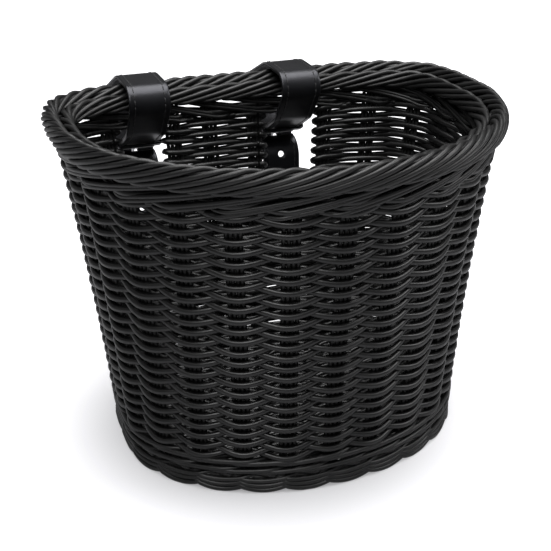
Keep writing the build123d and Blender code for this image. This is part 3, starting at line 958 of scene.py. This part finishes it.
@dataclass
class StrapSheet:
    """Flat leather of even thickness with rounded edges and punched holes, laid along a route."""

    width: float
    thickness: float
    length: float
    holes: list[Pair] = field(default_factory=list)
    round_tip: bool = False
    slit: Optional[Pair] = None
    edge: float = 0.42 * MM
    cell: float = 1.5 * MM

    def outline(self, inset: float) -> list[Pair]:
        """Corner points of the leather, moved in from its edge.

        Args:
            inset: distance in from the edge.

        Returns:
            (along, across) points, counter-clockwise.
        """
        half = self.width / 2 - inset
        steps = max(8, int(self.length / self.cell))
        end = self.length - inset
        straight = end - half if self.round_tip else end
        near = [(along, -half) for along in np.linspace(inset, straight, steps)]
        far = [(along, half) for along, _ in reversed(near)]
        if self.round_tip:
            turn = np.linspace(-math.pi / 2, math.pi / 2, 25)[1:-1]
            tip = [(straight + half * math.cos(t), half * math.sin(t)) for t in turn]
        elif self.slit is not None:
            deep, reach = self.slit[0], self.slit[1] + inset
            turn = np.linspace(-math.pi / 2, -1.5 * math.pi, 15)
            bend = [(self.length - deep + reach * math.cos(t), reach * math.sin(t)) for t in turn]
            side = np.linspace(half, reach, 8)[1:]
            tip = [(end, -across) for across in side] + bend + [(end, across) for across in side[::-1]]
        else:
            tip = [(end, across) for across in np.linspace(-half, half, 15)[1:-1]]
        heel = [(inset, across) for across in np.linspace(half, -half, 15)[1:-1]]
        return near + tip + far + heel

    def hole(self, spot: Pair, grow: float) -> list[Pair]:
        """Points clockwise round a punched hole, moved out from its edge."""
        along, radius = spot[0], spot[1] + grow
        return [(along + radius * math.cos(turn), radius * math.sin(turn))
                for turn in np.linspace(0, 2 * math.pi, 28, endpoint=False)[::-1]]

    def clear(self, along: float, across: float) -> bool:
        """Whether a point of the grid is well away from the round tip, the slit and the holes.

        Args:
            along: distance along the strap.
            across: distance from its middle.

        Returns:
            True where the point can be used.
        """
        spare = self.edge + 0.5 * MM
        tip = along - (self.length - self.width / 2)
        if self.round_tip and tip > 0 and math.hypot(tip, across) > self.reach:
            return False
        if self.slit is not None:
            ahead = min(0.0, along - self.length + self.slit[0])
            if math.hypot(ahead, across) < self.slit[1] + spare:
                return False
        return all(math.hypot(along - at, across) >= radius + spare for at, radius in self.holes)

    @property
    def reach(self) -> float:
        """How far across the inner points of the grid go."""
        return self.width / 2 - self.edge - 0.6 * self.cell

    def fill(self, loops: list[list[Pair]]) -> tuple[list[Pair], list[list[int]]]:
        """Triangles between the outer loop and the holes.

        Args:
            loops: the outline and then the holes.

        Returns:
            Points, with the loops' own first, and triangles.
        """
        points, edges = [], []
        for loop in loops:
            start = len(points)
            points += [Vector(point) for point in loop]
            edges += [(start + index, start + (index + 1) % len(loop)) for index in range(len(loop))]
        first_hole, last = len(loops[0]), len(points)
        for along in np.arange(self.cell, self.length - self.cell, self.cell):
            points += [Vector((along, across)) for across in np.linspace(-self.reach, self.reach, 14)
                       if self.clear(along, across)]
        found, _, triangles, _, _, _ = delaunay_2d_cdt(points, edges, [], 1, 1e-7)
        if len(found) != len(points):
            raise ValueError("strap outline has crossing or doubled points")
        kept = [list(face) for face in triangles
                if not all(first_hole <= index < last for index in face) or not self.punched(found, face)]
        return [(point.x, point.y) for point in found], kept

    def punched(self, points: list[Vector], face: list[int]) -> bool:
        """Whether the middle of a face lies in a hole."""
        middle = sum((points[index] for index in face), Vector((0.0, 0.0))) / len(face)
        near = 0.98 * self.edge
        return any(math.hypot(middle.x - at, middle.y) < radius + near for at, radius in self.holes)

    def shell(self) -> tuple[np.ndarray, list[Any]]:
        """Closed shell of the leather.

        Returns:
            (along, across, right) points and faces.
        """
        inner, outer = ([self.outline(grow)] + [self.hole(spot, grow) for spot in self.holes]
                        for grow in (self.edge, 0.0))
        flat, triangles = self.fill(inner)
        corners = np.array(flat)[np.array(triangles)]
        order = 1 if np.cross(corners[:, 1] - corners[:, 0], corners[:, 2] - corners[:, 0]).sum() > 0 else -1
        half, count = self.thickness / 2, len(flat)
        points = [(*point, half) for point in flat] + [(*point, -half) for point in flat]
        faces = [face[::order] for face in triangles]
        faces += [[count + index for index in face[::-order]] for face in triangles]
        start = 0
        for loop in outer:
            size, base = len(loop), len(points)
            points += [(*point, half * side) for side in (0.55, -0.55) for point in loop]
            rings = np.array([start, base, base + size, count + start])[:, None] + np.arange(size)
            onward = np.roll(rings, -1, axis=1)
            faces += np.stack([rings[:-1], rings[1:], onward[1:], onward[:-1]], -1).reshape(-1, 4).tolist()
            start += size
        return np.array(points, float), faces


@dataclass
class Strap:
    """One leather strap: two plies over the rim and through the slot, with its buckle and tail."""

    side: Side
    width: float = 24.0 * MM
    ply: float = 1.3 * MM
    bar: Pair = (101.5 * MM, 160.0 * MM)
    bar_radius: float = 16.0 * MM
    slot_bend: Pair = (57.2 * MM, 160.2 * MM)
    arch_front: Pair = (33.2 * MM, 191.55 * MM)
    rear_top: Pair = (76.0 * MM, 191.55 * MM)
    rear_top_radius: float = 25.0 * MM
    slot_bend_radius: float = 14.0 * MM
    arch_radius: float = 9.6 * MM
    leave_angle: float = -75.0
    heel_back: float = 15.0 * MM
    heel_in: float = 4.6 * MM
    wrap: float = 2.25 * MM
    strap_end: float = 15.2 * MM
    fold_length: float = 8.5 * MM
    fold_gap: float = 2.1 * MM
    fold_edge: float = 0.35 * MM
    lining_setback: float = 5.0 * MM
    prong_hole: Pair = (6.2 * MM, 3.8 * MM)
    prong_hole_back: float = 11.9 * MM
    tail_drop: float = 78.5 * MM
    tail_slope: float = 0.268
    tail_tip: Pair = (76.5 * MM, 96.0 * MM)
    tail_radius: float = 11.0 * MM
    tail_hinge_back: float = 17.1 * MM
    tail_holes: tuple[float, ...] = (130.6 * MM, 118.6 * MM, 106.6 * MM)
    tail_hole_radius: float = 2.0 * MM
    stitch_inset: float = 3.3 * MM
    stitch_pitch: float = 3.6 * MM
    stitch_length: float = 2.7 * MM
    strap_margins: Pair = (6.0 * MM, 16.0 * MM)
    tail_margins: Pair = (3.0 * MM, 14.0 * MM)
    thread_radius: float = 0.3 * MM
    thread_proud: float = 0.12 * MM
    keeper_from_heel: float = 13.6 * MM
    keeper_length: float = 6.0 * MM
    keeper_thick: float = 1.2 * MM
    keeper_play: float = 0.4 * MM

    @property
    def centre(self) -> float:
        """X of the middle of the strap, read from the frame."""
        low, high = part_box("strap_outer_" + self.side.value)
        return (low[0] + high[0]) / 2

    def beside(self, point: Pair, along: float, out: float) -> Pair:
        """A side-view point moved along the buckle's line and out from the handlebar."""
        turn = math.radians(self.leave_angle)
        return (point[0] - math.sin(turn) * along + math.cos(turn) * out,
                point[1] + math.cos(turn) * along + math.sin(turn) * out)

    @property
    def leave(self) -> Pair:
        """Where the strap leaves the handlebar for the buckle."""
        return self.beside(self.bar, 0.0, self.bar_radius + self.ply)

    @property
    def heel(self) -> Pair:
        """Side-view middle of the buckle's heel bar."""
        return self.beside(self.leave, -self.heel_back, -self.heel_in)

    def rear_corner(self) -> Pair:
        """Where the run off the rim would meet the run into the buckle."""
        radius = self.bar_radius + 1.5 * self.ply
        top, bar = np.array(self.rear_top), np.array(self.bar)
        toward = unit(bar - top)
        lean = radius / float(np.linalg.norm(bar - top))
        straight = math.sqrt(1 - lean ** 2)
        heading = toward * straight + np.array([-toward[1], toward[0]]) * lean
        gap = np.array(self.beside(self.bar, 0.0, radius)) - top
        onward = self.beside((0.0, 0.0), 1.0, 0.0)
        travel, _ = np.linalg.solve(np.transpose([heading, onward]), gap)
        return tuple((top + heading * travel).tolist())

    @property
    def run(self) -> np.ndarray:
        """Side-view direction from the heel bar to the slot."""
        return unit(np.array(self.slot_bend) - np.array(self.heel))

    def start(self, ahead: float) -> Pair:
        """Beginning of a ply beside the heel bar, moved on towards the slot."""
        point = np.array(self.heel) + np.array([-self.run[1], self.run[0]]) * self.wrap
        return tuple((point + unit(np.array(self.slot_bend) - point) * ahead).tolist())

    def route(self, ahead: float) -> SideRoute:
        """Route of the outer ply's middle, from a start beside the heel bar."""
        corners = [self.start(ahead), self.slot_bend, self.arch_front, self.rear_top, self.rear_corner(),
                   self.beside(self.leave, -self.strap_end, self.ply / 2)]
        radii = [self.slot_bend_radius, self.arch_radius, self.rear_top_radius,
                 self.bar_radius + 1.5 * self.ply]
        return SideRoute(corners, radii)

    def lay_sheet(self, piece: Piece, sheet: StrapSheet, route: SideRoute, right: float,
                  tone: float) -> None:
        """Bend a flat sheet along a route and add it to a piece.

        Args:
            piece: piece that takes the leather.
            sheet: the flat leather.
            route: route that it follows.
            right: distance to the right of the route's heading.
            tone: shade of the leather.
        """
        flat, faces = sheet.shell()
        piece.extend(route.lay(flat[:, 0], flat[:, 1], right + flat[:, 2], self.centre), faces, tone)

    def plies(self, leather: Material, lining: Material) -> SideRoute:
        """Build the outer ply with its fold round the heel bar, and the lining.

        Args:
            leather: finish of the outer ply.
            lining: finish of the lining.

        Returns:
            The route of the outer ply.
        """
        length, width = self.prong_hole
        slit = (self.strap_end - self.prong_hole_back + (length - width) / 2, width / 2)
        route, inner_route = self.route(0.0), self.route(self.lining_setback)
        outer, inner = (Piece(f"strap_{self.side.value}_{ply}") for ply in ("outer", "lining"))
        self.lay_sheet(outer, StrapSheet(self.width, self.ply, route.length, slit=slit), route, 0.0, 0.5)
        self.fold(outer)
        outer.build(leather, Slot.LEATHER, "basket", "strap_outer_" + self.side.value)
        sheet = StrapSheet(self.width - 0.5 * MM, self.ply, inner_route.length, slit=slit)
        self.lay_sheet(inner, sheet, inner_route, self.ply, 0.3)
        inner.build(lining, Slot.LINING, "basket", "strap_lining_" + self.side.value)
        return route

    def fold(self, piece: Piece) -> None:
        """Turn of the outer ply round the heel bar, with its short return leg, beside the prong."""
        heel, run = np.array(self.heel), self.run
        left = np.array([-run[1], run[0]])
        turn = np.linspace(0, math.pi, 20)[:, None]
        middle = heel + self.wrap * (left * np.cos(turn) - run * np.sin(turn))
        leg = heel - self.wrap * left + run * self.fold_length * np.linspace(0.1, 1, 8)[:, None]
        path = np.vstack([middle, leg])
        heading = unit(np.gradient(path, axis=0))
        side = np.stack([heading[:, 1], -heading[:, 0]], axis=1)
        half, edge = self.ply / 2, self.fold_edge
        for low, high in ((-self.width / 2, -self.fold_gap), (self.fold_gap, self.width / 2)):
            section = np.array([(low + edge, half), (low, half - edge), (low, edge - half),
                                (low + edge, -half), (high - edge, -half), (high, edge - half),
                                (high, half - edge), (high - edge, half)])
            flat = path[:, None] + side[:, None] * section[:, 1:]
            across = np.broadcast_to(self.centre + section[:, :1], (*flat.shape[:2], 1))
            piece.loft(np.concatenate([across, flat], axis=-1), 0.5)

    def stitches(self, name: str, route: SideRoute, margins: Pair, faces: tuple[int, ...],
                 depth: float) -> Piece:
        """Rows of stitches near both edges of a ply.

        Args:
            name: name of the piece.
            route: route of the ply.
            margins: distance to the first stitch, and what the rows leave free in all.
            faces: sides of the route that they show on, 1 for its right.
            depth: distance from the route to the leather's face.

        Returns:
            The piece, ready to be built.
        """
        piece = Piece(name)
        part = np.linspace(0, 1, 6)
        rise = depth + self.thread_proud * np.sin(math.pi * part) - 0.2 * MM * np.abs(2 * part - 1) ** 3
        for edge in (-1, 1):
            across = np.full(len(part), edge * (self.width / 2 - self.stitch_inset))
            for index in range(int((route.length - margins[1]) / self.stitch_pitch)):
                along = margins[0] + index * self.stitch_pitch + part * self.stitch_length
                for face in faces:
                    path, outer = (route.lay(along, across, face * (rise + more), self.centre)
                                   for more in (0.0, 1.0 * MM))
                    piece.tube(path, outer - path, self.thread_radius, 0.5, sides=6)
        return piece

    def tail(self, leather: Material, thread: Material) -> None:
        """Build the free end behind the wall, with its stitches."""
        hinge = self.beside(self.leave, -self.tail_hinge_back, 0.0)
        drop = (self.tail_drop, hinge[1] - (hinge[0] - self.tail_drop) * self.tail_slope)
        route = SideRoute([hinge, drop, self.tail_tip], [self.tail_radius])
        name = "tail_" + self.side.value
        holes = [(float(route.at[np.argmin(np.abs(route.points[:, 1] - height))]), self.tail_hole_radius)
                 for height in self.tail_holes]
        piece = Piece(name)
        sheet = StrapSheet(self.width, 2 * self.ply, route.length, holes, round_tip=True, edge=0.5 * MM)
        self.lay_sheet(piece, sheet, route, 0.0, 0.5)
        piece.build(leather, Slot.LEATHER, name, "strap_" + name)
        stitches = self.stitches(name + "_stitching", route, self.tail_margins, (-1, 1), self.ply)
        stitches.build(thread, Slot.LEATHER, name)

    def keeper(self, leather: Material) -> None:
        """Build the leather loop between the wall and the buckle."""
        start = np.array(self.start(0.0))
        run = unit(np.array(self.slot_bend) - start)
        right = np.array([run[1], -run[0]])
        middle = start + run * self.keeper_from_heel + right * self.ply / 2
        rings = []
        for grow, reach in ((0.0, 0.42), (0.0, -0.42), (0.25, -0.5), (0.85, -0.5), (1.0, -0.4), (1.0, 0.4),
                            (0.85, 0.5), (0.25, 0.5)):
            thick = self.keeper_thick * grow
            wide, tall = (half + self.keeper_play + thick for half in (self.width / 2, self.ply))
            bend = 0.3 * MM + 0.8 * thick
            ring = []
            for index, (sx, sz) in enumerate(((1, 1), (-1, 1), (-1, -1), (1, -1))):
                for turn in np.linspace(0, math.pi / 2, 7) + index * math.pi / 2:
                    up = sz * (tall - bend) + bend * math.sin(turn)
                    ring.append((self.centre + sx * (wide - bend) + bend * math.cos(turn),
                                 *(middle - right * up + run * reach * self.keeper_length)))
            rings.append(ring[::-1])
        piece = Piece(f"keeper_{self.side.value}_loop")
        piece.loft(np.array(rings), 0.5, wrap=True)
        piece.build(leather, Slot.LEATHER, "keeper_" + self.side.value, "keeper_" + self.side.value)

    def dress(self, leather: Material, lining: Material, thread: Material,
              nickel: Material) -> None:
        """Build every piece of the strap.

        Args:
            leather: finish of the outer ply, the tail and the keeper.
            lining: finish of the lining.
            thread: finish of the stitches.
            nickel: finish of the buckle and its prong.
        """
        route = self.plies(leather, lining)
        rows = self.stitches(f"strap_{self.side.value}_stitching", route, self.strap_margins, (-1,),
                             self.ply / 2)
        rows.build(thread, Slot.LEATHER, "basket")
        self.tail(leather, thread)
        self.keeper(leather)
        refinish("buckle_" + self.side.value, nickel)
        refinish("prong_" + self.side.value, nickel)


@dataclass
class Studio:
    """Pale floor, soft lights and the camera."""

    azimuth: float = -19.694
    elevation: float = 25.352
    aside: float = -0.001694
    height: float = 0.08485
    distance: float = 0.65228
    lens: float = 72.77
    sensor: float = 36.0
    nearest: float = 0.01
    floor_half: float = 4.0
    surroundings: float = 0.12
    lights: tuple[tuple[str, Triple, float, float], ...] = (
        ("overhead", (0.05, 0.1, 1.45), 1.3, 31.0),
        ("front_fill", (-0.6, -1.1, 1.5), 0.8, 13.0),
        ("side_fill", (1.2, -0.5, 1.1), 0.7, 8.0))

    def camera(self) -> None:
        """Place the camera on its line of sight."""
        turn, lift = math.radians(self.azimuth), math.radians(self.elevation)
        right = Vector((math.cos(turn), math.sin(turn), 0.0))
        back = Vector((math.sin(turn) * math.cos(lift), -math.cos(turn) * math.cos(lift), math.sin(lift)))
        up = back.cross(right)
        data = bpy.data.cameras.new("camera")
        data.lens = self.lens
        data.sensor_width = self.sensor
        data.clip_start = self.nearest
        data.dof.use_dof = False
        camera = placed("camera", data)
        spot = right * self.aside + Vector((0.0, 0.0, self.height)) + back * self.distance
        camera.matrix_world = Matrix.Translation(spot) @ Matrix((right, up, back)).transposed().to_4x4()
        bpy.context.scene.camera = camera

    def floor(self, paper: Material) -> None:
        """Lay the floor.

        Args:
            paper: finish of the floor.
        """
        half = self.floor_half
        mesh = bpy.data.meshes.new("studio_floor")
        mesh.from_pydata([(-half, -half, 0), (half, -half, 0), (half, half, 0), (-half, half, 0)], [],
                         [(0, 1, 2, 3)])
        mesh.materials.append(paper)
        placed("studio_floor", mesh)

    def light(self, name: str, spot: Triple, size: float, power: float) -> None:
        """Hang a square soft box that faces the basket.

        Args:
            name: name of the light.
            spot: where it hangs.
            size: its side.
            power: its power in watts.
        """
        data = bpy.data.lights.new(name, "AREA")
        data.shape = "SQUARE"
        data.size = size
        data.energy = power
        light = placed(name, data)
        light.location = spot
        aim = Vector((0.0, 0.0, 0.1)) - Vector(spot)
        light.rotation_euler = aim.to_track_quat("-Z", "Y").to_euler()

    def world(self) -> None:
        """White surroundings to the camera, dim ones to everything else."""
        world = bpy.data.worlds.new("studio")
        world.use_nodes = True
        tree = world.node_tree
        sky = tree.nodes["Background"]
        sky.inputs["Color"].default_value = (1.0, 1.0, 1.0, 1.0)
        seen = tree.nodes.new("ShaderNodeLightPath")
        level = tree.nodes.new("ShaderNodeMapRange")
        level.inputs["To Min"].default_value = self.surroundings
        level.inputs["To Max"].default_value = 1.0
        tree.links.new(seen.outputs["Is Camera Ray"], level.inputs["Value"])
        tree.links.new(level.outputs["Result"], sky.inputs["Strength"])
        bpy.context.scene.world = world
        bpy.context.scene.view_settings.view_transform = "Standard"

    def set_up(self) -> None:
        """Build the whole studio."""
        self.camera()
        self.floor(PaperFinish("studio_paper_painted_shadow").material())
        self.world()
        for name, spot, size, power in self.lights:
            self.light(name, spot, size, power)


def main() -> None:
    """Build the basket's sub-assemblies in order, then the studio."""
    rng = np.random.default_rng(7)
    form = TubForm()
    stakes = StakeRow(form)
    weave = RattanFinish("rattan_weave").material()
    # The rods' finish is darker than the weave's: painted shade for the rods sunk between the rows; the
    # floor's sticks share it.
    rods = RattanFinish("rattan_rods_painted_shade", (0.004, 0.004, 0.0042), (0.008, 0.008, 0.008), (0.4, 0.55)).material()
    # The rolled finish is the weave's rattan with a darker lightest tone: painted shade on the rim's top
    # under the overhead light; the foot braid shares it.
    border = RattanFinish("rattan_rolled_painted_shade", light=(0.0095, 0.0094, 0.0094), roughness=(0.34, 0.48)).material()
    stakes.dress(rods, rng)
    SideWeave(form, stakes).dress(weave, rng)
    RimBorder(form, stakes).dress(border, rng)
    FootBraid(form, stakes).dress(border, rng)
    Floor(form).dress(weave, rods, rng)
    leather = LeatherFinish("strap_leather").material()
    lining = LeatherFinish("strap_lining", (0.005, 0.005, 0.0054), (0.009, 0.009, 0.0095),
                           (0.5, 0.66)).material()
    thread = ThreadFinish("waxed_thread").material()
    nickel = NickelFinish("nickel_wire").material()
    for side in Side:
        Strap(side).dress(leather, lining, thread, nickel)
    Studio().set_up()


if __name__ == "__main__":
    main()
